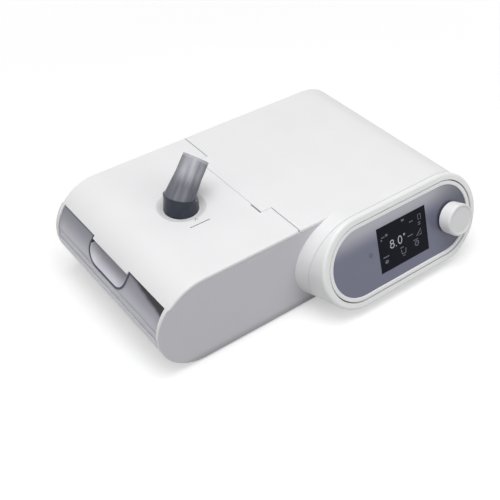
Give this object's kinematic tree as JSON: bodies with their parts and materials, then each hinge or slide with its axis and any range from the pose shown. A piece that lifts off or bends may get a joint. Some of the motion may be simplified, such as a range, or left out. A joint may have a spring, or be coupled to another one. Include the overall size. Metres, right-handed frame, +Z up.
{
  "type": "bilevel positive airway pressure machine",
  "caption": "Bedside bilevel airway pressure machine with a built-in heated humidifier, a hinged lid, a swivel hose outlet and a leaning control panel.",
  "frame": {"origin": "on the floor, under the middle of the whole object's bounding box", "axes": "+X to the right as seen from the control panel's side, +Y to the rear, +Z up"},
  "size_m": [0.3117, 0.2062, 0.1276],
  "materials": {
    "white_shell": "fine satin",
    "white_skirt": "fine satin",
    "grey_panel": "fine matte",
    "panel_white": "satin gloss",
    "fascia_blue_grey": "metallic satin",
    "window_black": "gloss",
    "smoke_clear": "clear smoky gloss",
    "tank_clear": "clear smoky gloss",
    "knob_white": "satin",
    "black_rubber": "matte",
    "grey_rubber": "matte",
    "white_silicone": "matte",
    "black_plastic": "matte",
    "dark_grey_plastic": "matte",
    "natural_plastic": "matte",
    "steel": "bright",
    "aluminium_cast": "plain",
    "heater_copper": "plain",
    "board_green": "solder mask",
    "foam_grey": "open cell",
    "filter_white": "fibrous",
    "cable_white": "plain"
  },
  "bodies": {
    "chassis": {"bottom_shell": "white_shell", "front_side_panel": "grey_panel", "rear_side_panel": "grey_panel", "main_cover": "white_shell", "case_screws": "steel", "rubber_feet": "grey_rubber", "hinge_pins": "steel", "divider_wall": "dark_grey_plastic", "tank_port_seal": "white_silicone", "heater_plate": "aluminium_cast", "heater_element": "heater_copper", "heater_insulator": "natural_plastic", "outlet_duct": "black_rubber", "blower_housing": "black_plastic", "blower_cap": "black_plastic", "blower_mounts": "grey_rubber", "motor_housing": "aluminium_cast", "motor_stator": "heater_copper", "motor_bearings": "steel", "air_filter": "filter_white", "intake_box": "dark_grey_plastic", "silencer_foam": "foam_grey", "main_board": "board_green", "board_components": "black_plastic", "board_screws": "steel", "socket_board": "board_green", "power_inlet": "black_plastic", "power_inlet_pin": "steel", "card_socket": "steel", "panel_bezel": "panel_white", "panel_trim_ring": "panel_white", "panel_fascia": "fascia_blue_grey", "display_window": "window_black", "panel_frame": "dark_grey_plastic", "display_module": "black_plastic", "panel_board": "board_green", "encoder_body": "natural_plastic", "panel_cable": "cable_white"},
    "lid": {"humidifier_lid": "white_shell", "outlet_gasket": "white_silicone"},
    "elbow": {"outlet_elbow": "smoke_clear", "elbow_o_ring": "black_rubber", "elbow_retainer": "natural_plastic"},
    "tank": {"tank_tub": "tank_clear", "tank_cover": "tank_clear", "tank_seal": "white_silicone", "tank_base_plate": "steel", "tank_skirt": "white_skirt", "tank_snorkel": "tank_clear", "pocket_trim": "black_rubber", "pocket_liner": "tank_clear"},
    "push": {"encoder_plunger": "black_plastic"},
    "knob": {"encoder_shaft": "steel", "control_knob": "knob_white"},
    "rotor": {"motor_rotor": "steel", "impeller": "natural_plastic"},
    "filter_door": {"filter_cover": "grey_panel"},
    "card_flap": {"card_cover": "grey_rubber"}
  },
  "joints": [
    {"name": "lid_hinge", "type": "hinge", "parent": "chassis", "child": "lid", "pos_m": [-0.0245, 0.02209, 0.0845], "axis": [0, 1, 0], "range_deg": [0, 75]},
    {"name": "elbow_swivel", "type": "hinge", "parent": "lid", "child": "elbow", "pos_m": [-0.08, 0.02209, 0.086], "axis": [0, 0, 1], "continuous": true},
    {"name": "tank_slide", "type": "slide", "parent": "chassis", "child": "tank", "axis": [-1, 0, 0], "range_m": [0, 0.11]},
    {"name": "knob_push", "type": "slide", "parent": "chassis", "child": "push", "axis": [0, 0.9483, -0.3173], "range_m": [0, 0.001], "stiffness_N_per_m": 1500, "springref_m": -0.001},
    {"name": "knob_turn", "type": "hinge", "parent": "push", "child": "knob", "pos_m": [0.1242, -0.0857, 0.04588], "axis": [0, -0.9483, 0.3173], "continuous": true},
    {"name": "impeller_spin", "type": "hinge", "parent": "chassis", "child": "rotor", "pos_m": [0.06, 0.04009, 0.04], "axis": [0, 0, 1], "continuous": true},
    {"name": "filter_door_hinge", "type": "hinge", "parent": "chassis", "child": "filter_door", "pos_m": [0.072, 0.10309, 0.0273], "axis": [-1, 0, 0], "range_deg": [0, 90]},
    {"name": "card_flap_hinge", "type": "hinge", "parent": "chassis", "child": "card_flap", "pos_m": [0.027, 0.10229, 0.0201], "axis": [1, 0, 0], "range_deg": [0, 90]}
  ]
}
